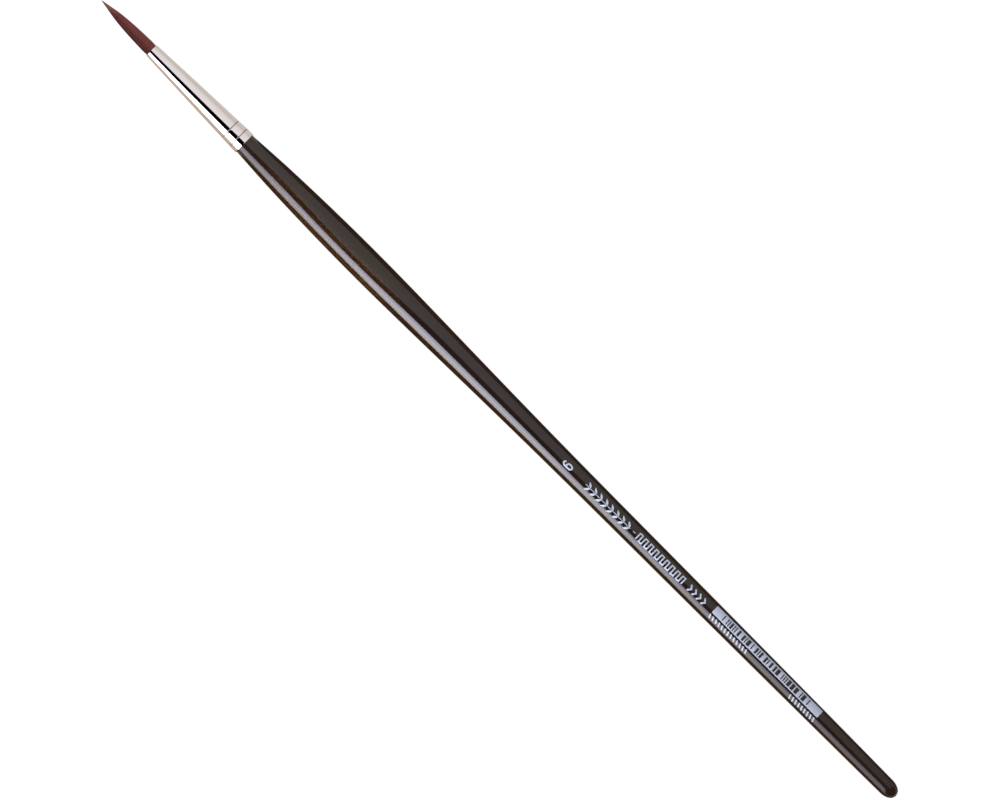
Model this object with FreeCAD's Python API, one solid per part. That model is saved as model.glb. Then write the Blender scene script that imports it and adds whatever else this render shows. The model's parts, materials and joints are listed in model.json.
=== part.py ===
import FreeCAD, Part
import math
import os

# A long-handled pointed round brush, in millimetres.
# It lies along X with its hairs towards +X. The origin is on the brush's axis at the rear rim of
# the ferrule, where metal meets wood. Every piece is turned about X. Lengths without a note are
# places or distances along X, and radii are measured from it.

# ferrule: a seamless tapered tube with two rolled crimps near its rear rim
FERRULE_LENGTH = 34.3
FERRULE_WALL = 0.20
COLLAR_RADIUS = 3.30
COLLAR_LENGTH = 2.05
BAND_REAR_RADIUS = 3.24
BAND_FRONT_RADIUS = 3.14
BAND_BULGE = 0.02
WAIST_X = 21.5
WAIST_RADIUS = 2.515
MOUTH_RADIUS = 1.95
CRIMP_WIDTH = 0.34
CRIMP_DEPTH = 0.07
CRIMP_SPACING = 3.04
FRONT_OF_CRIMPS_RADIUS = 3.13

# handle: turned wood with a tenon inside the ferrule
TENON_LENGTH = 15.0
SHOULDER_RADIUS = 3.08
NECK = FreeCAD.Vector(-17.5, 3.89, 0)
BELLY = FreeCAD.Vector(-43.5, 4.355, 0)
FLANK = FreeCAD.Vector(-74.7, 3.905, 0)
GRIP = FreeCAD.Vector(-108.5, 3.30, 0)
SHAFT = FreeCAD.Vector(-160.5, 2.94, 0)
TAIL = FreeCAD.Vector(-212.5, 2.59, 0)
BUTT_START_X = -236.1
BUTT_RADIUS = 2.37
BUTT_LENGTH = 3.6
RISE_AT_SHOULDER = 0.058
FALL_AT_BUTT = 0.011

# tenon adhesive: a film between the tenon and the ferrule
ADHESIVE_GAP = 0.12
CLEARANCE = 0.02
ADHESIVE_FRONT_X = 14.0

# hairs: a bundle bound at its root, and a free length that bends outside the mouth
ROOT_CUT_X = 21.3
ROOT_IN_FERRULE_X = 26.9
ROOT_RADIUS = 1.70
BINDING_X = 24.1
BINDING_WAIST_RADIUS = 1.60
TUFT_LENGTH = 18.6
TUFT_BASE_RADIUS = 1.78
TUFT_SIDE = ((5.4, 1.651), (10.6, 1.313), (13.2, 1.0), (15.8, 0.546))
TIP_RADIUS = 0.08
BEND_FROM_MOUTH = 2.3
BEND_BALL_RADIUS = 1.75
BEND_CUP_RADIUS = 2.10

# binding thread: close turns round the root
THREAD_DIAMETER = 0.30
THREAD_TURNS = 6

# root cement: a plug behind and around the bound root
CEMENT_REAR_X = 18.6
CEMENT_FRONT_X = 28.0

REAR_CRIMP_X = COLLAR_LENGTH + CRIMP_WIDTH / 2
FRONT_CRIMP_X = REAR_CRIMP_X + CRIMP_SPACING
TIP_X = FERRULE_LENGTH + TUFT_LENGTH
BEND_X = FERRULE_LENGTH + BEND_FROM_MOUTH


def point(x, radius):
    """A point of an outline, given by its place along the axis and its distance from it."""
    return FreeCAD.Vector(x, radius, 0)


def line(a, b):
    """A straight edge."""
    return Part.LineSegment(a, b).toShape()


def arc(a, middle, b):
    """A circular edge through three points."""
    return Part.Arc(a, middle, b).toShape()


def chain(*points):
    """Straight edges from point to point."""
    return [line(a, b) for a, b in zip(points, points[1:])]


def smooth(points, start_slope=None, end_slope=None):
    """A smooth curve through the points, with optional directions at its two ends."""
    curve = Part.BSplineCurve()
    if start_slope is None:
        curve.interpolate(points)
    else:
        curve.interpolate(points, InitialTangent=start_slope, FinalTangent=end_slope)
    return curve.toShape()


def turned(edges):
    """The solid that a closed outline makes when it is turned about X."""
    face = Part.Face(Part.Wire(edges))
    axis = FreeCAD.Vector(1, 0, 0)
    return face.revolve(FreeCAD.Vector(0, 0, 0), axis, 360)


def disc(radius, rear_x, front_x):
    """A plain cylinder about the axis between two places."""
    return Part.makeCylinder(radius, front_x - rear_x, point(rear_x, 0), FreeCAD.Vector(1, 0, 0))


def wall_edges(inset):
    """The ferrule's wall line from its rear rim to its mouth, moved towards the axis by inset."""
    def at(x, radius):
        return point(x, radius - inset)

    def crimp(x, behind, ahead):
        bottom = (behind + ahead) / 2 - CRIMP_DEPTH
        half = CRIMP_WIDTH / 2
        return arc(at(x - half, behind), at(x, bottom), at(x + half, ahead))

    band_start = REAR_CRIMP_X + CRIMP_WIDTH / 2
    band_end = FRONT_CRIMP_X - CRIMP_WIDTH / 2
    band_radius = (BAND_REAR_RADIUS + BAND_FRONT_RADIUS) / 2 + BAND_BULGE
    cone_start = at(FRONT_CRIMP_X + CRIMP_WIDTH / 2, FRONT_OF_CRIMPS_RADIUS)
    return [
        line(at(0, COLLAR_RADIUS), at(COLLAR_LENGTH, COLLAR_RADIUS)),
        crimp(REAR_CRIMP_X, COLLAR_RADIUS, BAND_REAR_RADIUS),
        arc(
            at(band_start, BAND_REAR_RADIUS),
            at((band_start + band_end) / 2, band_radius),
            at(band_end, BAND_FRONT_RADIUS),
        ),
        crimp(FRONT_CRIMP_X, BAND_FRONT_RADIUS, FRONT_OF_CRIMPS_RADIUS),
        arc(cone_start, at(WAIST_X, WAIST_RADIUS), at(FERRULE_LENGTH, MOUTH_RADIUS)),
    ]


def inner_space(inset, rear_x, front_x):
    """The solid that fills the ferrule's wall line, moved in by inset, between two places."""
    wall = wall_edges(inset)
    rear = wall[0].Vertexes[0].Point
    front = wall[-1].Vertexes[-1].Point
    ends = chain(front, point(front.x, 0), point(rear.x, 0), rear)
    filled = turned(wall + ends)
    slab = disc(COLLAR_RADIUS + 1, rear_x, front_x)
    return filled.common(slab)


def make_ferrule():
    """The tapered metal tube, crimped twice onto the tenon."""
    return inner_space(0, 0, FERRULE_LENGTH).cut(inner_space(FERRULE_WALL, 0, FERRULE_LENGTH))


def make_handle():
    """The wooden handle: its tenon, belly, long thin tail and rounded butt.

    The wood is stored as two solids that meet at a flat cut at the grip. The real handle has no
    joint there. As one solid with one collision hull it never came to rest on a flat plate. Two
    hulls follow the slimmer stretch between belly and butt, and the brush comes to rest.
    """
    shoulder = point(0, SHOULDER_RADIUS)
    butt_start = point(BUTT_START_X, BUTT_RADIUS)
    butt_end = point(BUTT_START_X - BUTT_LENGTH, 0)
    rise = FreeCAD.Vector(-1, RISE_AT_SHOULDER, 0)
    fall = FreeCAD.Vector(-1, -FALL_AT_BUTT, 0)
    side = smooth([shoulder, NECK, BELLY, FLANK, GRIP, SHAFT, TAIL, butt_start], rise, fall)
    ellipse = Part.Ellipse(butt_end, butt_start, point(BUTT_START_X, 0))
    dome = Part.ArcOfEllipse(ellipse, 0, math.pi / 2).toShape()
    centre = point(0, 0)
    wood_behind_ferrule = turned([side, dome, line(butt_end, centre), line(centre, shoulder)])
    tenon = inner_space(FERRULE_WALL + ADHESIVE_GAP, 0, TENON_LENGTH)
    whole = wood_behind_ferrule.fuse(tenon).removeSplitter()
    room = BELLY.y + 1
    front = whole.common(disc(room, GRIP.x, TENON_LENGTH))
    rear = whole.common(disc(room, butt_end.x, GRIP.x))
    return Part.makeCompound(front.Solids + rear.Solids)


def make_tenon_adhesive():
    """The film of adhesive between the tenon and the ferrule."""
    outside = inner_space(FERRULE_WALL + CLEARANCE, CLEARANCE, ADHESIVE_FRONT_X)
    inside = inner_space(FERRULE_WALL + ADHESIVE_GAP - CLEARANCE, 0, FERRULE_LENGTH)
    return outside.cut(inside)


def root_side(grow):
    """The bundle's side from its cut root to the ferrule's mouth, moved outwards by grow."""
    cut = point(ROOT_CUT_X, ROOT_RADIUS + grow)
    waist = point(BINDING_X, BINDING_WAIST_RADIUS + grow)
    past_binding = point(ROOT_IN_FERRULE_X, ROOT_RADIUS + grow)
    mouth = point(FERRULE_LENGTH, ROOT_RADIUS + grow)
    return [arc(cut, waist, past_binding), line(past_binding, mouth)]


def make_hair_root():
    """The bound and cemented end of the hairs, up to where they start to bend."""
    mouth = point(FERRULE_LENGTH, ROOT_RADIUS)
    swell = point(FERRULE_LENGTH + BEND_FROM_MOUTH / 2, TUFT_BASE_RADIUS)
    front = point(BEND_X, TUFT_BASE_RADIUS)
    cut_end = point(ROOT_CUT_X, ROOT_RADIUS)
    ends = chain(mouth, swell, front, point(BEND_X, 0), point(ROOT_CUT_X, 0), cut_end)
    cup = Part.makeSphere(BEND_CUP_RADIUS, point(BEND_X, 0))
    return turned(root_side(0) + ends).cut(cup)


def make_tuft():
    """The free length of the hairs, with a ball end about the place where it bends."""
    ball_back = point(BEND_X - BEND_BALL_RADIUS, 0)
    slant = BEND_BALL_RADIUS * math.sqrt(0.5)
    base = point(BEND_X, BEND_BALL_RADIUS)
    ball = arc(ball_back, point(BEND_X - slant, slant), base)
    stations = [point(FERRULE_LENGTH + ahead, radius) for ahead, radius in TUFT_SIDE]
    side = smooth([base] + stations + [point(TIP_X - TIP_RADIUS, TIP_RADIUS)])
    nose = TIP_RADIUS * math.sqrt(0.5)
    tip = arc(
        point(TIP_X - TIP_RADIUS, TIP_RADIUS),
        point(TIP_X - TIP_RADIUS + nose, nose),
        point(TIP_X, 0),
    )
    return turned([ball, side, tip, line(point(TIP_X, 0), ball_back)])


def make_root_binding():
    """The thread's turns round the root, side by side, as one grooved band."""
    radius = THREAD_DIAMETER / 2
    first = BINDING_X - (THREAD_TURNS - 1) * radius
    centre = BINDING_WAIST_RADIUS + CLEARANCE * 3 + radius
    start = first - radius
    end = first + THREAD_TURNS * THREAD_DIAMETER - radius
    edges = []
    for turn in range(THREAD_TURNS):
        x = first + turn * THREAD_DIAMETER
        edges.append(arc(point(x - radius, centre), point(x, centre + radius), point(x + radius, centre)))
    inside = centre - radius
    edges += chain(point(end, centre), point(end, inside), point(start, inside), point(start, centre))
    return turned(edges)


def make_root_cement():
    """The cement plug that holds the bound root in the ferrule."""
    plug = inner_space(FERRULE_WALL + CLEARANCE, CEMENT_REAR_X, CEMENT_FRONT_X)
    back = point(ROOT_CUT_X - CLEARANCE, 0)
    radius = ROOT_RADIUS + CLEARANCE
    mouth = point(FERRULE_LENGTH, radius)
    cut_end = point(ROOT_CUT_X, radius)
    ends = chain(mouth, point(FERRULE_LENGTH, 0), back, point(back.x, radius), cut_end)
    around_root = turned(root_side(CLEARANCE) + ends)
    length = THREAD_TURNS * THREAD_DIAMETER + 2 * CLEARANCE
    reach = BINDING_WAIST_RADIUS + THREAD_DIAMETER + 5 * CLEARANCE
    around_thread = disc(reach, BINDING_X - length / 2, BINDING_X + length / 2)
    return plug.cut(around_root.fuse(around_thread))


NODES = {
    "handle": make_handle,
    "ferrule": make_ferrule,
    "tenon_adhesive": make_tenon_adhesive,
    "hair_root": make_hair_root,
    "root_binding": make_root_binding,
    "root_cement": make_root_cement,
    "tuft": make_tuft,
}

os.makedirs("parts", exist_ok=True)
for name, make in NODES.items():
    solid = make()
    box = solid.BoundBox
    print(name, len(solid.Solids), solid.isValid(), round(solid.Volume, 2), "mm3", box.XMin, box.XMax)
    solid.exportStep("parts/" + name + ".step")
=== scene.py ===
import math
import random

import bpy
import numpy as np
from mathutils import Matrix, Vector
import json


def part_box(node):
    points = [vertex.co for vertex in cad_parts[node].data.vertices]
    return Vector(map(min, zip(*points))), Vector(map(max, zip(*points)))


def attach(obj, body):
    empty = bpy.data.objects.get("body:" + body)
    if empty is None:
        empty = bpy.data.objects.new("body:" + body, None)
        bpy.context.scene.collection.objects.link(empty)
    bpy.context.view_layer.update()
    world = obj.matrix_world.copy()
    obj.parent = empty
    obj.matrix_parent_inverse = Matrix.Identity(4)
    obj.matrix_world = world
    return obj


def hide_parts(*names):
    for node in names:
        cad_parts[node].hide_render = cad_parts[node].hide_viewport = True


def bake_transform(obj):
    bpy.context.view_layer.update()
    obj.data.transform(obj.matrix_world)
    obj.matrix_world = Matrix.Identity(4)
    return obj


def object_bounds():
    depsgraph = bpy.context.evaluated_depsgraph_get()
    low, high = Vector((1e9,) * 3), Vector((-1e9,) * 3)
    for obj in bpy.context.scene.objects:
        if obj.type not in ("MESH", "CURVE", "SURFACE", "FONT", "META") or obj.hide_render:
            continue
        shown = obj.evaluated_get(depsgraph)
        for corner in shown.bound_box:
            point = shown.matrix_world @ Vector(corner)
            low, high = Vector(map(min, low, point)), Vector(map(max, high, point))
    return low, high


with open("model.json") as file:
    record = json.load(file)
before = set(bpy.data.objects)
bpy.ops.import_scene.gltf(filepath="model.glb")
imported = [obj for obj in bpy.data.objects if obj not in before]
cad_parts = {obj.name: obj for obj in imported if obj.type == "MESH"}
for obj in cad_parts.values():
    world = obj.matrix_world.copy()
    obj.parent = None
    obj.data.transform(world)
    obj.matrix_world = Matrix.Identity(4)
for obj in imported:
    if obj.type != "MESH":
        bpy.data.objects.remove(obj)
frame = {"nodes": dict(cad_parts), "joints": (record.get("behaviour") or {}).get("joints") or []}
cad_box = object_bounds()

# The brush lies along X with its hairs towards +X. Its origin is on the axis at the ferrule's rear
# rim, and +Z is the side with the printed marks. All lengths are in metres, and MM is one millimetre.
MM = 0.001

# ---------------------------------------------------------------- shapes turned about the X axis

HANDLE_SIDES = 96
FERRULE_SIDES = 128
FRONT_SPACING = 0.6 * MM
TAIL_SPACING = 1.6 * MM
FERRULE_SPACING = 0.5 * MM
CRIMP_SPACING = 0.05 * MM
TENON_SPACING = 0.12 * MM
OUTLINE_SPACING = 0.4 * MM
FINE_OUTLINE_SPACING = 0.03 * MM
GRIP_X = -110 * MM
BUTT_DOME = 3.6 * MM
BUTT_STEPS = 18
CRIMPS = (2.22 * MM, 5.26 * MM)
CRIMPS_END = 6.2 * MM
LIP_STEPS = 6

# ---------------------------------------------------------------- filaments

FILAMENTS = 1150
OUTER_SHARE = 0.5
OUTER_SIDES = 5
INNER_SIDES = 3
SPACING_FACTOR = 1.9
SHORT_SHARE = 0.3
SHORT_FROM = 0.62
FINE_END = 0.16
FINE_END_SIZE = 0.12
HELD_RINGS = (0, 0.22, 0.45, 0.75)
FREE_RINGS = 15
RING_CROWDING = 1.25
BUNDLE_SPACING = 0.25 * MM
WAVE = 0.016
UNEVEN = 0.012
FILAMENT_SEED = 6

# ---------------------------------------------------------------- binding thread

THREAD_TURNS = 6
THREAD_DIAMETER = 0.29 * MM
THREAD_SIDES = 10
STEPS_IN_TURN = 48
PLY_DEPTH = 0.10
PLY_TWISTS_IN_TURN = 9

# ---------------------------------------------------------------- printed marks

INK_HEIGHT = 0.012 * MM
INK_DEPTH = 0.02 * MM
INK_STEP = 0.22 * MM


def lerp(a, b, share):
    return a + (b - a) * share


def outline(node, side):
    """The (x, radius) points of a turned CAD node, from its faces that look away from the axis
    (side 1) or towards it (side -1), in order along X."""
    mesh = frame["nodes"][node].data
    found = {}
    for face in mesh.polygons:
        out = Vector((0, face.center.y, face.center.z))
        if out.length == 0 or side * face.normal.dot(out.normalized()) < 0.02:
            continue
        for index in face.vertices:
            x, y, z = mesh.vertices[index].co
            found[round(x, 7)] = math.hypot(y, z)
    return np.array(sorted(found.items()))


def thin_out(points, spacing):
    """The points with no two nearer than spacing along X, and both ends kept."""
    kept = [points[0]]
    for point in points[1:-1]:
        if point[0] - kept[-1][0] >= spacing and points[-1][0] - point[0] >= spacing:
            kept.append(point)
    return np.array(kept + [points[-1]])


def smooth_through(points, xs):
    """Heights at xs of a smooth curve through the points that adds no bumps of its own."""
    px, py = points[:, 0], points[:, 1]
    step = np.diff(px)
    rise = np.diff(py) / step
    slope = np.zeros(len(px))
    slope[0], slope[-1] = rise[0], rise[-1]
    same_way = rise[:-1] * rise[1:] > 0
    before, after = rise[:-1][same_way], rise[1:][same_way]
    w_before = (2 * step[1:] + step[:-1])[same_way]
    w_after = (step[1:] + 2 * step[:-1])[same_way]
    slope[1:-1][same_way] = (w_before + w_after) / (w_before / before + w_after / after)
    k = np.clip(np.searchsorted(px, xs) - 1, 0, len(step) - 1)
    h = step[k]
    t = (xs - px[k]) / h
    return (
        py[k] * (1 + 2 * t) * (1 - t) ** 2
        + slope[k] * h * t * (1 - t) ** 2
        + py[k + 1] * t * t * (3 - 2 * t)
        + slope[k + 1] * h * t * t * (t - 1)
    )


def stations(start, end, spacing):
    """Places from start to end, both included, about spacing apart."""
    return np.linspace(start, end, max(2, round(abs(end - start) / spacing) + 1))


def new_piece(name, vertices, faces, smooth=True):
    mesh = bpy.data.meshes.new(name)
    mesh.from_pydata([tuple(v) for v in vertices], [], faces)
    mesh.validate()
    mesh.polygons.foreach_set("use_smooth", [smooth] * len(mesh.polygons))
    piece = bpy.data.objects.new(name, mesh)
    bpy.context.scene.collection.objects.link(piece)
    return piece


def sharpen(piece, degrees):
    """Marks the edges that turn more than this as sharp, so that they aren't shaded round."""
    mesh = piece.data
    faces_of = {}
    for face in mesh.polygons:
        for key in face.edge_keys:
            faces_of.setdefault(key, []).append(face.normal)
    limit = math.radians(degrees)
    for edge in mesh.edges:
        pair = faces_of[edge.key]
        edge.use_edge_sharp = len(pair) != 2 or pair[0].angle(pair[1], 0) > limit


def lathe(name, profile, sides, closed):
    """A piece turned about X from (x, radius) points. A closed profile is a ring, as for a tube,
    and an open one starts and ends on the axis."""
    vertices, rings = [], []
    for x, radius in profile:
        if radius < 1e-9:
            rings.append([len(vertices)] * sides)
            vertices.append((x, 0, 0))
            continue
        rings.append(list(range(len(vertices), len(vertices) + sides)))
        for k in range(sides):
            angle = math.tau * k / sides
            vertices.append((x, radius * math.sin(angle), radius * math.cos(angle)))
    faces = []
    pairs = list(zip(rings, rings[1:] + rings[:1])) if closed else list(zip(rings, rings[1:]))
    for here, ahead in pairs:
        for k in range(sides):
            n = (k + 1) % sides
            corners = [here[k], here[n], ahead[n], ahead[k]]
            faces.append(list(dict.fromkeys(corners)))
    return new_piece(name, vertices, faces)


# ================================================================ handle

handle_low, handle_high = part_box("handle")
mouth_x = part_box("ferrule")[1].x
tuft_tip_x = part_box("tuft")[1].x
wood_points = outline("handle", 1)
bare_wood = thin_out(wood_points[wood_points[:, 0] <= 0], OUTLINE_SPACING)
tenon_points = thin_out(wood_points[wood_points[:, 0] > 0], FINE_OUTLINE_SPACING)


def handle_radius(x):
    """The radius of the handle's wood behind the ferrule."""
    return smooth_through(bare_wood, np.atleast_1d(x))


def make_handle():
    """The turned handle with its rounded butt, its long tail, its belly and its tenon."""
    butt = handle_low.x
    turns = [math.pi / 2 * k / BUTT_STEPS for k in range(BUTT_STEPS)]
    rear = [butt + BUTT_DOME * (1 - math.cos(a)) for a in turns]
    tail = stations(butt + BUTT_DOME, GRIP_X, TAIL_SPACING)[:-1]
    front = stations(GRIP_X, 0, FRONT_SPACING)
    xs = np.concatenate([rear, tail, front])
    profile = list(zip(xs, handle_radius(xs)))
    profile[0] = (butt, 0)
    tenon_end = handle_high.x
    tenon_xs = stations(tenon_points[0][0], tenon_end, TENON_SPACING)
    profile.append((0, tenon_points[0][1]))
    profile += list(zip(tenon_xs, smooth_through(tenon_points, tenon_xs)))
    profile.append((tenon_end, 0))
    return lathe("lacquered_handle", profile, HANDLE_SIDES, closed=False)


# ================================================================ ferrule


def make_ferrule():
    """The nickel-plated tube: two rolled crimps, a drawn taper and a burnished lip at the mouth."""
    xs = np.concatenate([
        stations(0, CRIMPS_END, CRIMP_SPACING)[:-1],
        stations(CRIMPS_END, mouth_x, FERRULE_SPACING),
    ])
    outside, inside = (
        list(zip(xs, smooth_through(thin_out(outline("ferrule", side), FINE_OUTLINE_SPACING), xs)))
        for side in (1, -1)
    )
    wall = outside[-1][1] - inside[-1][1]

    def rounded(rim, inwards):
        """A half round that joins the two walls at a rim, inside the tube's length."""
        middle = (outside[rim][1] + inside[rim][1]) / 2
        centre = xs[rim] + inwards * wall / 2
        turn = [math.pi * (k + 0.5) / LIP_STEPS for k in range(LIP_STEPS)]
        return [
            (centre - inwards * math.sin(a) * wall / 2, middle + math.cos(a) * wall / 2)
            for a in turn
        ]

    def clear_of_rims(wall_points):
        return [p for p in wall_points if wall / 2 < p[0] < mouth_x - wall / 2]

    lip = rounded(-1, -1)
    rear_rim = rounded(0, 1)[::-1]
    profile = clear_of_rims(outside) + lip + clear_of_rims(inside)[::-1] + rear_rim
    return lathe("crimped_ferrule", profile, FERRULE_SIDES, closed=True)


# ================================================================ hairs


def bundle_side():
    """The (x, radius) points of the hairs' outside from their cut roots to the tip."""
    root = outline("hair_root", 1)
    tuft = outline("tuft", 1)
    joint_x = frame["joints"][0]["pos_m"][0]
    held = root[root[:, 0] < joint_x - 0.5 * MM]
    free = tuft[tuft[:, 0] > joint_x]
    return thin_out(np.concatenate([held, free]), BUNDLE_SPACING)


def make_hairs():
    """Every filament of the bundle, from its cut root to its fine end, as one mesh."""
    side = bundle_side()
    root_x, tip_x = side[0][0], side[-1][0]
    free = tip_x - mouth_x
    held_xs = [lerp(root_x, mouth_x, share) for share in HELD_RINGS]
    crowded = [(1 - k / FREE_RINGS) ** RING_CROWDING for k in range(FREE_RINGS + 1)]
    free_xs = [lerp(tip_x, mouth_x, share) for share in crowded]
    xs = np.array(held_xs + free_xs)
    rng = random.Random(FILAMENT_SEED)
    spread = SPACING_FACTOR / math.sqrt(FILAMENTS)
    thickest = spread / 2
    golden = math.pi * (3 - math.sqrt(5))
    vertices, faces, tints = [], [], []
    for i in range(FILAMENTS):
        share = math.sqrt((i + 0.5) / FILAMENTS)
        angle = i * golden
        sides = OUTER_SIDES if share > math.sqrt(1 - OUTER_SHARE) else INNER_SIDES
        tint = rng.random()
        phase = rng.random() * math.tau
        waves = rng.uniform(0.6, 1.4)
        proud = rng.uniform(-UNEVEN, UNEVEN)
        is_short = rng.random() < SHORT_SHARE
        end = mouth_x + free * (rng.uniform(SHORT_FROM, 0.97) if is_short else rng.uniform(0.985, 1.0))
        along = np.minimum(xs, end)
        if is_short:
            along = np.concatenate([xs[xs < end - 0.2 * MM], [end]])
        radius = smooth_through(side, along)
        out = np.clip((along - mouth_x) / free, 0, 1)
        taper = np.clip((end - along) / (FINE_END * free), 0, 1) ** 0.6
        thickness = thickest * radius * lerp(FINE_END_SIZE, 1, taper)
        distance = (share * (1 - spread / 2) + proud * out) * radius
        turned = angle + WAVE * out * np.sin(phase + waves * math.tau * out)
        first = len(vertices)
        for x, r, a, w in zip(along, distance, turned, thickness):
            cy, cz = r * math.sin(a), r * math.cos(a)
            for k in range(sides):
                b = a + math.tau * k / sides
                vertices.append((x, cy + w * math.sin(b), cz + w * math.cos(b)))
                tints.append(tint)
        rings = len(along)
        for ring in range(rings - 1):
            here = first + ring * sides
            for k in range(sides):
                n = (k + 1) % sides
                faces.append((here + k, here + n, here + sides + n, here + sides + k))
        faces.append(tuple(first + k for k in reversed(range(sides))))
        last = first + (rings - 1) * sides
        faces.append(tuple(last + k for k in range(sides)))
    hairs = new_piece("hair_filaments", vertices, faces)
    tint_layer = hairs.data.attributes.new("tint", "FLOAT", "POINT")
    tint_layer.data.foreach_set("value", tints)
    return hairs


def make_thread():
    """The waxed two-ply thread wound round the bundle's root, with both ends tucked under."""
    low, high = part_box("root_binding")
    outside = high.z
    winding = outside - THREAD_DIAMETER / 2
    start = low.x + THREAD_DIAMETER / 2
    end = high.x - THREAD_DIAMETER / 2
    steps = THREAD_TURNS * STEPS_IN_TURN
    tuck = STEPS_IN_TURN // 6
    vertices, faces = [], []
    for step in range(steps + 1):
        share = step / steps
        angle = math.tau * THREAD_TURNS * share
        from_end = min(step, steps - step)
        tucked = max(0, 1 - from_end / tuck) * THREAD_DIAMETER * 0.4
        centre = winding - tucked
        size = THREAD_DIAMETER / 2
        ply = angle * PLY_TWISTS_IN_TURN
        for k in range(THREAD_SIDES):
            b = math.tau * k / THREAD_SIDES
            w = size * (1 - PLY_DEPTH + PLY_DEPTH * math.cos(2 * (b - ply)))
            r = centre + w * math.sin(b)
            x = lerp(start, end, share) + w * math.cos(b)
            vertices.append((x, r * math.sin(angle), r * math.cos(angle)))
    for step in range(steps):
        here = step * THREAD_SIDES
        for k in range(THREAD_SIDES):
            n = (k + 1) % THREAD_SIDES
            faces.append((here + n, here + k, here + THREAD_SIDES + k, here + THREAD_SIDES + n))
    faces.append(tuple(range(THREAD_SIDES)))
    faces.append(tuple(reversed(range(steps * THREAD_SIDES, (steps + 1) * THREAD_SIDES))))
    return new_piece("root_thread", vertices, faces)


# ================================================================ printed marks
# A mark is drawn flat, in (x, s): x runs along the brush, and s is the distance round the handle
# from its top line towards +Y. Ink is a thin closed layer that follows the wood.


class Ink:
    """Collects the faces of all printed marks."""

    def __init__(self):
        self.vertices = []
        self.faces = []

    def add_point(self, x, s, height):
        radius = handle_radius(x)[0]
        angle = s / radius
        r = radius + height
        self.vertices.append((x, r * math.sin(angle), r * math.cos(angle)))
        return len(self.vertices) - 1

    def relief(self, grid, filled):
        """A closed layer over the filled cells of a grid of (x, s) points."""
        rows, columns = len(grid), len(grid[0])
        used = {}

        def corner(i, j, top):
            key = (i, j, top)
            if key not in used:
                used[key] = self.add_point(*grid[i][j], INK_HEIGHT if top else -INK_DEPTH)
            return used[key]

        def is_filled(i, j):
            return 0 <= i < rows - 1 and 0 <= j < columns - 1 and filled(i, j)

        for i in range(rows - 1):
            for j in range(columns - 1):
                if not is_filled(i, j):
                    continue
                loop = [(i, j), (i + 1, j), (i + 1, j + 1), (i, j + 1)]
                beyond = [(i, j - 1), (i + 1, j), (i, j + 1), (i - 1, j)]
                self.faces.append([corner(a, b, True) for a, b in loop])
                self.faces.append([corner(a, b, False) for a, b in reversed(loop)])
                for k in range(4):
                    if is_filled(*beyond[k]):
                        continue
                    (a, b), (c, d) = loop[k], loop[(k + 1) % 4]
                    rim = ((c, d, True), (a, b, True), (a, b, False), (c, d, False))
                    self.faces.append([corner(*place) for place in rim])

    def block(self, x, s, length, height):
        """A plain rectangle with its middle at (x, s)."""
        xs = stations(x - length / 2, x + length / 2, 2 * INK_STEP)
        ss = stations(s - height / 2, s + height / 2, INK_STEP)
        self.relief([[(a, b) for b in ss] for a in xs], lambda i, j: True)

    def stroke(self, path, widths):
        """A line of ink along a path, with a width at each of its points and square corners."""
        path = [Vector(p) for p in path]
        grid = []
        for k, here in enumerate(path):
            before = (here - path[k - 1]).normalized() if k else None
            after = (path[k + 1] - here).normalized() if k + 1 < len(path) else before
            before = before or after
            along = (before + after).normalized()
            reach = widths[k] / 2 / max(0.5, along.dot(after))
            across = Vector((-along.y, along.x)) * reach
            grid.append([tuple(here + across * w) for w in (-1, -0.33, 0.33, 1)])
        self.relief(grid, lambda i, j: True)


def finer(path, step):
    """The path with points added on its straight runs, at most step apart."""
    points = [path[0]]
    for a, b in zip(path, path[1:]):
        count = max(1, math.ceil(math.dist(a, b) / step))
        shares = [k / count for k in range(1, count + 1)]
        points += [(lerp(a[0], b[0], share), lerp(a[1], b[1], share)) for share in shares]
    return points


def size_number(ink):
    """The size, a plain figure 6 that stands upright when the hairs point up."""
    top, bottom = -116.9 * MM, -120.15 * MM
    middle, half_width = -0.37 * MM, 0.58 * MM
    stroke = 0.44 * MM
    bowl_half = 0.86 * MM
    bowl_x = bottom + stroke / 2 + bowl_half
    turns = [math.radians(a) for a in range(35, 181, 12)]
    arch_x = top - stroke / 2 - 1.0 * MM
    path = [
        (arch_x + 1.0 * MM * math.sin(a), middle - half_width * math.cos(a)) for a in turns
    ]
    path += [(lerp(arch_x, bowl_x, k / 4), middle + half_width) for k in range(1, 4)]
    turns = [math.radians(a) for a in range(180, 505, 12)]
    path += [
        (bowl_x + bowl_half * math.sin(a), middle - half_width * math.cos(a)) for a in turns
    ]
    ink.stroke(path, [stroke] * len(path))


def leaf_garland(ink):
    """A plain garland of paired leaves on a stem."""
    start, end = -125.2 * MM, -141.6 * MM
    middle = -0.2 * MM
    pairs = 8
    leaf, lean, widest = 1.75 * MM, math.radians(42), 0.60 * MM
    gap, steps = 0.13 * MM, 8
    stem = finer([(start, middle), (end, middle)], 2 * INK_STEP)
    ink.stroke(stem, [0.16 * MM] * len(stem))
    for pair in range(pairs):
        foot = lerp(start, end, (pair + 0.85) / pairs)
        for hand in (-1, 1):
            shares = [k / steps for k in range(steps + 1)]
            path = [
                (
                    foot + leaf * share * math.cos(lean),
                    middle + hand * (gap + leaf * share * math.sin(lean)),
                )
                for share in shares
            ]
            widths = [widest * max(0.06, math.sin(math.pi * share**0.8)) for share in shares]
            ink.stroke(path, widths)


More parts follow.
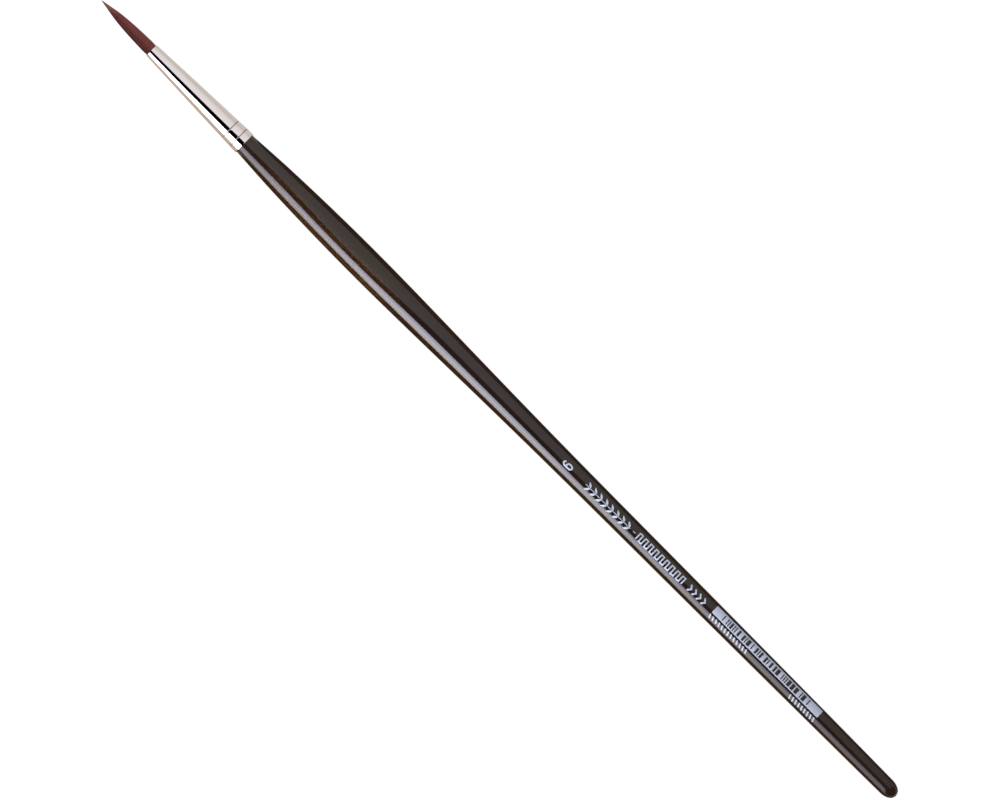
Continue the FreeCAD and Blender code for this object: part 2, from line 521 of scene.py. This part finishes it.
def key_pattern(ink):
    """A plain square wave."""
    start, end = -144.4 * MM, -161.0 * MM
    low, high = 0.62 * MM, -1.28 * MM
    waves = 9
    half = (end - start) / (2 * waves - 1)
    path = []
    for k in range(2 * waves):
        x = start + k * half
        ends = [(x, low), (x, high)]
        path += ends if k % 2 == 0 else ends[::-1]
    path = finer(path, INK_STEP)
    ink.stroke(path, [0.36 * MM] * len(path))


def chevrons(ink):
    """Four plain chevrons."""
    first, pitch = -163.2 * MM, -1.65 * MM
    middle, reach, length = -0.33 * MM, 0.95 * MM, 0.75 * MM
    for k in range(4):
        x = first + k * pitch
        path = finer([(x, middle - reach), (x - length, middle), (x, middle + reach)], INK_STEP)
        ink.stroke(path, [0.44 * MM] * len(path))


def hatching(ink, start, end, low, high, count):
    """A row of thin slanted strokes."""
    lean = 0.45 * MM
    for k in range(count):
        x = lerp(start - lean, end, k / (count - 1))
        path = finer([(x + lean, low), (x, high)], INK_STEP)
        ink.stroke(path, [0.36 * MM] * len(path))


def bar_patch(ink):
    """A pale patch with a made-up row of bars, where the lacquer shows between the ink."""
    start, end = -171.9 * MM, -210.6 * MM
    bars_start, bars_end = -175.1 * MM, -206.4 * MM
    s_edge, s_bars, s_bars_end, s_end = -2.43 * MM, -2.0 * MM, -0.16 * MM, 0.14 * MM
    rng = random.Random(95)
    counts = [rng.choice((1, 1, 2, 3)) for _ in range(2 * 28 - 1)]
    module = (bars_end - bars_start) / sum(counts)
    edges = [start, bars_start]
    for count in counts:
        edges.append(edges[-1] + count * module)
    edges.append(end)
    ss = [s_edge, lerp(s_edge, s_bars, 0.5)]
    ss += list(stations(s_bars, s_bars_end, INK_STEP)) + [s_end]
    in_bars = [s_bars <= (a + b) / 2 <= s_bars_end for a, b in zip(ss, ss[1:])]
    xs, is_bar = [edges[0]], []
    for k, (a, b) in enumerate(zip(edges, edges[1:])):
        parts = list(stations(a, b, 2 * INK_STEP))[1:]
        xs += parts
        is_bar += [k % 2 == 1] * len(parts)
    grid = [[(x, s) for s in reversed(ss)] for x in xs]
    open_columns = in_bars[::-1]
    ink.relief(grid, lambda i, j: not (is_bar[i] and open_columns[j]))


def make_printed_marks():
    """All the ink on the handle: the size, and plain ornament."""
    ink = Ink()
    size_number(ink)
    leaf_garland(ink)
    ink.block(-143.0 * MM, -0.3 * MM, 0.9 * MM, 0.17 * MM)
    key_pattern(ink)
    chevrons(ink)
    bar_patch(ink)
    hatching(ink, -172.0 * MM, -185.6 * MM, 0.60 * MM, 1.76 * MM, count=13)
    hatching(ink, -201.5 * MM, -210.5 * MM, 0.66 * MM, 2.02 * MM, count=9)
    marks = new_piece("printed_marks", ink.vertices, ink.faces)
    sharpen(marks, 40)
    return marks


# ================================================================ materials


class Shader:
    """A material, with short calls for its nodes."""

    def __init__(self, name):
        self.material = bpy.data.materials.new(name)
        self.material.use_nodes = True
        self.tree = self.material.node_tree
        self.surface = self.tree.nodes["Principled BSDF"]
        self.place = self.tree.nodes.new("ShaderNodeTexCoord").outputs["Object"]

    def put(self, socket, value):
        if isinstance(value, bpy.types.NodeSocket):
            self.tree.links.new(value, socket)
        else:
            socket.default_value = value

    def set(self, **values):
        """Sets the surface's own sockets."""
        for name, value in values.items():
            self.put(self.surface.inputs[name.replace("_", " ")], value)

    def calc(self, operation, a, b=0.0):
        node = self.tree.nodes.new("ShaderNodeMath")
        node.operation = operation
        self.put(node.inputs[0], a)
        self.put(node.inputs[1], b)
        return node.outputs[0]

    def split(self, vector):
        node = self.tree.nodes.new("ShaderNodeSeparateXYZ")
        self.put(node.inputs[0], vector)
        return node.outputs

    def stored(self, name):
        """A value that is kept on the mesh's points."""
        node = self.tree.nodes.new("ShaderNodeAttribute")
        node.attribute_name = name
        return node.outputs

    def stretched(self, x, y, z):
        """The place on the piece, in features per metre along each axis."""
        node = self.tree.nodes.new("ShaderNodeMapping")
        self.put(node.inputs["Vector"], self.place)
        node.inputs["Scale"].default_value = (x, y, z)
        return node.outputs[0]

    def noise(self, vector, detail=2.0, roughness=0.5, distortion=0.0):
        node = self.tree.nodes.new("ShaderNodeTexNoise")
        self.put(node.inputs["Vector"], vector)
        node.inputs["Scale"].default_value = 1.0
        node.inputs["Detail"].default_value = detail
        node.inputs["Roughness"].default_value = roughness
        node.inputs["Distortion"].default_value = distortion
        return node.outputs["Fac"]

    def ramp(self, value, *stops):
        """Colours or greys against a value from 0 to 1, with smooth steps between."""
        node = self.tree.nodes.new("ShaderNodeValToRGB")
        node.color_ramp.interpolation = "EASE"
        elements = node.color_ramp.elements
        while len(elements) < len(stops):
            elements.new(0.5)
        for element, (at, colour) in zip(elements, stops):
            grey = not isinstance(colour, tuple)
            element.position = at
            element.color = (colour, colour, colour, 1) if grey else (*colour, 1)
        self.put(node.inputs[0], value)
        return node.outputs[0]

    def between(self, value, low, high, low_out=0.0, high_out=1.0):
        """A value mapped smoothly from one range to another."""
        node = self.tree.nodes.new("ShaderNodeMapRange")
        node.interpolation_type = "SMOOTHSTEP"
        for socket, number in zip(node.inputs[:5], (value, low, high, low_out, high_out)):
            self.put(socket, number)
        return node.outputs[0]

    def mix(self, share, a, b):
        node = self.tree.nodes.new("ShaderNodeMix")
        node.data_type = "RGBA"
        for name, value in (("Factor", share), ("A", a), ("B", b)):
            socket = next(s for s in node.inputs if s.name == name and s.enabled)
            self.put(socket, (*value, 1) if isinstance(value, tuple) else value)
        return next(s for s in node.outputs if s.enabled)

    def bump(self, height, strength, distance, socket="Normal"):
        node = self.tree.nodes.new("ShaderNodeBump")
        node.inputs["Strength"].default_value = strength
        node.inputs["Distance"].default_value = distance
        self.put(node.inputs["Height"], height)
        self.put(self.surface.inputs[socket], node.outputs[0])


def lacquered_wood():
    """Dark stained wood under clear gloss lacquer. Beside the belly and along the +Y side, which face
    the main light, the wood is painted browner and lighter as painted light from that lamp. There the
    pores and the long grain show brown."""
    s = Shader("dark_lacquered_wood")
    x, y = s.split(s.place)[:2]
    fibres = s.noise(s.stretched(55, 1900, 1900), detail=3, roughness=0.6)
    pores = s.noise(s.stretched(1100, 4200, 4200), detail=2, roughness=0.6)
    clouds = s.noise(s.stretched(28, 160, 160), detail=2)
    # Painted light: the +Y side beside the belly and a strip along the +Y side face the main light.
    # They are painted browner and lighter in place of that lamp's diffuse light. The grain and flecks
    # that show there are the wood's own.
    behind_belly = s.between(x, -66 * MM, -44 * MM)
    before_belly = s.between(x, 8 * MM, -30 * MM)
    uneven_y = s.calc("ADD", y, s.calc("MULTIPLY", clouds, 1.2 * MM))
    toward_main_light = s.between(uneven_y, -1.0 * MM, 1.3 * MM)
    lit_belly = s.calc("MULTIPLY", s.calc("MULTIPLY", behind_belly, before_belly), toward_main_light)
    painted_light_share = s.calc("MAXIMUM", lit_belly, s.between(y, 1.2 * MM, 2.8 * MM, 0.0, 0.35))
    uneven_painted_light = s.calc("MULTIPLY", painted_light_share, s.ramp(clouds, (0.3, 0.6), (0.7, 1.0)))
    dark = s.mix(fibres, (0.029, 0.0172, 0.0122), (0.058, 0.0346, 0.0245))
    grain = s.ramp(fibres, (0.35, 0.0), (0.65, 1.0))
    brown = s.mix(grain, (0.066, 0.029, 0.0099), (0.158, 0.068, 0.0230))
    stained = s.mix(uneven_painted_light, dark, brown)
    flecks = s.ramp(pores, (0.52, 0.0), (0.68, 1.0))
    fleck_share = s.calc("MULTIPLY", flecks, s.calc("ADD", s.calc("MULTIPLY", uneven_painted_light, 0.62), 0.06))
    s.set(
        Base_Color=s.mix(fleck_share, stained, (0.42, 0.21, 0.080)),
        Roughness=s.ramp(pores, (0.3, 0.5), (0.7, 0.62)),
        Specular_IOR_Level=0.0,
        Coat_Weight=1.0,
        Coat_Roughness=0.022,
        Coat_IOR=1.47,
    )
    s.bump(fibres, 0.25, 0.02 * MM)
    s.bump(s.noise(s.stretched(90, 420, 420)), 0.12, 0.01 * MM, "Coat Normal")
    return s.material


def plated_metal():
    """Polished nickel plate with the faint rings of its polishing and a few haze marks, and painted
    shade in the crimps, which are painted dark and rough."""
    s = Shader("polished_nickel")
    x = s.split(s.place)[0]
    # Painted shade: the bottoms of the two crimps are painted dark and rough.
    crimp_shade = 0.0
    for crimp in CRIMPS:
        from_crimp = s.calc("ABSOLUTE", s.calc("SUBTRACT", x, crimp))
        crimp_shade = s.calc("ADD", crimp_shade, s.between(from_crimp, 0.19 * MM, 0.07 * MM))
    rings = s.noise(s.stretched(9000, 90, 90), detail=2)
    haze = s.noise(s.stretched(260, 520, 520), detail=4, roughness=0.65)
    clean = s.mix(haze, (0.80, 0.745, 0.715), (0.765, 0.705, 0.665))
    s.set(
        Base_Color=s.mix(crimp_shade, clean, (0.34, 0.27, 0.25)),
        Metallic=1.0,
        Roughness=s.mix(crimp_shade, s.ramp(haze, (0.35, 0.03), (0.75, 0.06)), (0.5, 0.5, 0.5)),
    )
    waves = s.noise(s.stretched(120, 260, 260))
    s.bump(s.calc("ADD", s.calc("MULTIPLY", rings, 0.12), waves), 0.04, 0.02 * MM)
    return s.material


def filament():
    """Reddish-brown synthetic filament, each one a slightly different tone, paler at its end."""
    s = Shader("red_brown_filament")
    x = s.split(s.place)[0]
    tint = s.stored("tint")["Fac"]
    streaks = s.noise(s.stretched(120, 9000, 9000), detail=2)
    tone = s.calc("ADD", s.calc("MULTIPLY", tint, 0.7), s.calc("MULTIPLY", streaks, 0.3))
    body = s.mix(tone, (0.120, 0.0235, 0.0245), (0.258, 0.070, 0.066))
    tip = s.between(x, tuft_tip_x - 6.5 * MM, tuft_tip_x - 0.5 * MM)
    s.set(
        Base_Color=s.mix(s.calc("MULTIPLY", tip, 0.8), body, (0.48, 0.21, 0.14)),
        Roughness=s.ramp(tint, (0.0, 0.36), (1.0, 0.52)),
        Specular_IOR_Level=0.22,
    )
    return s.material


def waxed_thread():
    """Off-white waxed linen thread."""
    s = Shader("waxed_linen_thread")
    fibres = s.noise(s.stretched(7000, 5000, 5000), detail=4, roughness=0.7)
    s.set(
        Base_Color=s.mix(fibres, (0.60, 0.55, 0.45), (0.86, 0.82, 0.74)),
        Roughness=s.ramp(fibres, (0.3, 0.45), (0.7, 0.7)),
        Sheen_Weight=0.25,
    )
    s.bump(fibres, 0.5, 0.02 * MM)
    return s.material


def set_resin(name, pale, deep):
    """Set resin with small bubbles and cloudy depth."""
    s = Shader(name)
    clouds = s.noise(s.stretched(700, 700, 700), detail=3)
    bubbles = s.tree.nodes.new("ShaderNodeTexVoronoi")
    s.put(bubbles.inputs["Vector"], s.place)
    bubbles.inputs["Scale"].default_value = 3200
    s.set(
        Base_Color=s.mix(clouds, deep, pale),
        Roughness=s.ramp(bubbles.outputs["Distance"], (0.1, 0.35), (0.4, 0.14)),
        Transmission_Weight=0.25,
    )
    s.bump(bubbles.outputs["Distance"], 0.3, 0.03 * MM)
    return s.material


def print_ink():
    """Pale blue-grey printed ink, a little uneven, with pinholes."""
    s = Shader("pale_printed_ink")
    cover = s.noise(s.stretched(1500, 2600, 2600), detail=3, roughness=0.6)
    pinholes = s.noise(s.stretched(7500, 7500, 7500), detail=1)
    solid = s.mix(cover, (0.46, 0.52, 0.66), (0.51, 0.58, 0.72))
    s.set(
        Base_Color=s.mix(s.ramp(pinholes, (0.24, 0.6), (0.33, 0.0)), solid, (0.10, 0.09, 0.10)),
        Roughness=s.ramp(cover, (0.3, 0.46), (0.7, 0.56)),
        Specular_IOR_Level=0.8,
    )
    s.bump(cover, 0.12, 0.01 * MM)
    return s.material


def finish_with(piece, material):
    piece.data.materials.clear()
    piece.data.materials.append(material)


# ================================================================ the brush

handle = make_handle()
sharpen(handle, 50)
finish_with(handle, lacquered_wood())
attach(handle, "brush_body")
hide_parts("handle")

ferrule = make_ferrule()
finish_with(ferrule, plated_metal())
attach(ferrule, "brush_body")
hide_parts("ferrule")

hairs = make_hairs()
finish_with(hairs, filament())
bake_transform(hairs)
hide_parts("tuft", "hair_root")

thread = make_thread()
finish_with(thread, waxed_thread())
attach(thread, "brush_body")
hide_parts("root_binding")

marks = make_printed_marks()
finish_with(marks, print_ink())
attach(marks, "brush_body")

for node, pale, deep in (
    ("tenon_adhesive", (0.62, 0.50, 0.28), (0.40, 0.27, 0.10)),
    ("root_cement", (0.55, 0.38, 0.16), (0.30, 0.17, 0.06)),
):
    finish_with(frame["nodes"][node], set_resin(node + "_resin", pale, deep))

# ================================================================ studio
# The lights are curved sheets round the brush's axis. An angle is measured from straight above,
# towards +Y. The gloss mirrors nothing from the strip straight above, where the camera is.

FLOOR_SIZE = 60.0
LIGHT_DISTANCE = 0.15
LIGHT_START, LIGHT_END = -0.31, 0.40
LIGHT_ROWS, LIGHT_COLUMNS = 90, 24
FADED_GLOW = 0.1
FLAG_NEAR, FLAG_FAR = 6 * MM, 150 * MM
FLAG_HEIGHT = 0.2 * MM


class Stage(Shader):
    """A material of the studio that only gives off or scatters light."""

    def __init__(self, name):
        super().__init__(name)
        self.tree.nodes.remove(self.surface)
        self.out = self.tree.nodes["Material Output"].inputs["Surface"]

    def shader(self, kind, **values):
        node = self.tree.nodes.new("ShaderNode" + kind)
        for name, value in values.items():
            self.put(node.inputs[name], (*value, 1) if isinstance(value, tuple) else value)
        return node.outputs[0]

    def added(self, a, b):
        node = self.tree.nodes.new("ShaderNodeAddShader")
        self.put(node.inputs[0], a)
        self.put(node.inputs[1], b)
        return node.outputs[0]

    def seen_by(self, ray):
        return self.tree.nodes.new("ShaderNodeLightPath").outputs[ray]

    def mix_shaders(self, share, a, b):
        node = self.tree.nodes.new("ShaderNodeMixShader")
        for socket, value in zip(node.inputs, (share, a, b)):
            self.put(socket, value)
        return node.outputs[0]


def near_edge(x, near, bulge):
    """The angle of a light sheet's near edge at x, which bulges beside the belly and turns away
    from the ferrule."""
    x = x / MM
    belly, belly_reach = -37, 26
    step_start, step_length, step_angle = -60, 50, 4.3
    turn_start, turn_length, turn_for_each_mm = 15, 30, 0.3
    beside_belly = math.exp(-abs((x - belly) / belly_reach) ** 3)
    step = min(max((x - step_start) / step_length, 0), 1)
    turn = turn_for_each_mm * min(max(x - turn_start, 0), turn_length)
    return near + bulge * beside_belly + step_angle * step * step * (3 - 2 * step) + turn


def light_sheet(name, near, far, bulge, centre, spread, glow, slant=0.0, aside=1.0):
    """A glowing sheet between two angles. It is brightest at centre and fades along X to a tenth,
    and glow lists its colours from its near edge to its far edge. Its rear end is slanted by a
    length, and its glow falls to a share, aside, where it is seen at a slant, as in a honeycomb."""
    rows, columns = LIGHT_ROWS, LIGHT_COLUMNS
    glow = np.array(glow)
    stops = np.linspace(0, 1, len(glow))
    vertices, faces, colours = [], [], []
    for i in range(rows + 1):
        for j in range(columns + 1):
            x = lerp(LIGHT_START + slant * (1 - j / columns), LIGHT_END, i / rows)
            fade = lerp(math.exp(-(((x - centre) / spread) ** 2) / 2), 1, FADED_GLOW)
            a = math.radians(lerp(near_edge(x, near, bulge), far, j / columns))
            vertices.append((x, LIGHT_DISTANCE * math.sin(a), LIGHT_DISTANCE * math.cos(a)))
            colour = [fade * np.interp(j / columns, stops, glow[:, c]) for c in range(3)]
            colours += colour + [1.0]
    for i in range(rows):
        for j in range(columns):
            a = i * (columns + 1) + j
            faces.append((a, a + 1, a + columns + 2, a + columns + 1))
    sheet = new_piece(name, vertices, faces)
    layer = sheet.data.attributes.new("glow", "FLOAT_COLOR", "POINT")
    layer.data.foreach_set("color", colours)
    s = Stage(name)
    facing = s.tree.nodes.new("ShaderNodeLayerWeight").outputs["Facing"]
    strength = s.between(facing, 0.04, 0.30, 1.0, aside)
    glowing = s.shader("Emission", Color=s.stored("glow")["Color"], Strength=strength)
    s.put(s.out, s.added(glowing, s.shader("BsdfTransparent")))
    finish_with(sheet, s.material)
    sheet.visible_camera = False
    sheet.visible_shadow = False
    return sheet


def link_light(sheet, piece, state):
    """Keeps a light off one piece, or on that piece only."""
    lit = bpy.data.collections.new(sheet.name + "_pieces")
    lit.objects.link(piece)
    lit.collection_objects[0].light_linking.link_state = state
    sheet.light_linking.receiver_collection = lit


def make_floor(z):
    """A plain pale floor. Only the camera sees it white, and the brush mirrors it a little warmer
    and darker, most of all on one side."""
    half = FLOOR_SIZE / 2
    corners = [(-half, -half, z), (half, -half, z), (half, half, z), (-half, half, z)]
    floor = new_piece("floor", corners, [(0, 1, 2, 3)])
    s = Stage("pale_floor")
    # Painted light: to all rays but the camera's, the floor is a glow, painted darker and warmer
    # towards +Y.
    beside = s.between(s.split(s.place)[1], -8 * MM, 8 * MM)
    mirrored = s.shader("Emission", Color=s.mix(beside, (0.75, 0.71, 0.69), (0.64, 0.54, 0.475)))
    shaded = s.shader("BsdfDiffuse", Color=(0.50, 0.50, 0.50))
    white = s.added(shaded, s.shader("Emission", Color=(1.0, 1.0, 1.0), Strength=0.88))
    s.put(s.out, s.mix_shaders(s.seen_by("Is Camera Ray"), mirrored, white))
    finish_with(floor, s.material)


def make_flags(z):
    """Two black cards beside the handle, seen only in its gloss, that keep its edges dark."""
    rear, front = handle_low.x - 10 * MM, -1 * MM
    for name, near, far in (
        ("flag_left", -FLAG_FAR, -FLAG_NEAR),
        ("flag_right", FLAG_NEAR, FLAG_FAR),
    ):
        corners = [(rear, near, z), (front, near, z), (front, far, z), (rear, far, z)]
        flag = new_piece(name, corners, [(0, 1, 2, 3)])
        s = Stage(name)
        s.put(s.out, s.shader("BsdfDiffuse", Color=(0.02, 0.02, 0.02)))
        finish_with(flag, s.material)
        flag.visible_camera = False
        flag.visible_diffuse = False
        flag.visible_shadow = False
        flag.visible_transmission = False


def make_world():
    """Even white light from all round, which leaves no reflections and looks white behind."""
    world = bpy.data.worlds.new("studio")
    bpy.context.scene.world = world
    world.use_nodes = True
    nodes, links = world.node_tree.nodes, world.node_tree.links
    ray = nodes.new("ShaderNodeLightPath").outputs["Is Camera Ray"]
    strength = nodes.new("ShaderNodeMapRange")
    links.new(ray, strength.inputs["Value"])
    strength.inputs["To Min"].default_value = 0.45
    strength.inputs["To Max"].default_value = 1.0
    background = nodes["Background"]
    background.inputs["Color"].default_value = (1.0, 1.0, 1.0, 1)
    links.new(strength.outputs[0], background.inputs["Strength"])
    world.cycles_visibility.glossy = False


def make_camera():
    """Straight above the brush, which runs from the upper left to the lower right."""
    width = 260 * MM
    lens, sensor = 360.0, 36.0
    roll = math.radians(225.05)
    aside_x, aside_y = -0.64 * MM, 0.11 * MM
    low, high = cad_box
    data = bpy.data.cameras.new("camera")
    data.lens = lens
    data.sensor_width = sensor
    distance = width * lens / sensor
    camera = bpy.data.objects.new("camera", data)
    camera.location = ((low.x + high.x) / 2 + aside_x, aside_y, distance)
    camera.rotation_euler = (0, 0, roll)
    data.clip_start = distance / 20
    data.clip_end = distance * 20
    bpy.context.scene.collection.objects.link(camera)
    bpy.context.scene.camera = camera


floor_z = cad_box[0].z
make_camera()
make_floor(floor_z)
make_flags(floor_z + FLAG_HEIGHT)
make_world()
main_light = light_sheet(
    "main_light",
    near=28.5,
    far=87.5,
    bulge=10,
    centre=-80 * MM,
    spread=86 * MM,
    slant=62 * MM,
    aside=0.08,
    glow=((6.4, 6.5, 9.7), (9.4, 9.3, 11.0), (12.0, 11.6, 12.9), (9.7, 9.6, 10.4), (7.4, 7.3, 6.2)),
)
side_light = light_sheet(
    "side_light",
    near=-10.5,
    far=-88,
    bulge=20.5,
    centre=40 * MM,
    spread=250 * MM,
    glow=(
        (0.99, 0.97, 1.02),
        (0.97, 0.96, 1.00),
        (0.92, 0.92, 0.94),
        (0.83, 0.83, 0.83),
        (0.70, 0.69, 0.67),
    ),
)
hair_light = light_sheet(
    "hair_light",
    near=-25,
    far=-75,
    bulge=0,
    centre=0,
    spread=300 * MM,
    glow=((1.6, 1.6, 1.6),) * 2,
)
print_light = light_sheet(
    "print_light",
    near=0,
    far=87,
    bulge=0,
    centre=-120 * MM,
    spread=50 * MM,
    glow=((2.7, 2.7, 2.8),) * 2,
)
for mirrored in (main_light, side_light):
    mirrored.visible_diffuse = False
for unmirrored in (hair_light, print_light):
    unmirrored.visible_glossy = False
link_light(main_light, hairs, "EXCLUDE")
link_light(hair_light, hairs, "INCLUDE")
link_light(print_light, marks, "INCLUDE")

scene = bpy.context.scene
scene.view_settings.view_transform = "Standard"
scene.view_settings.look = "None"
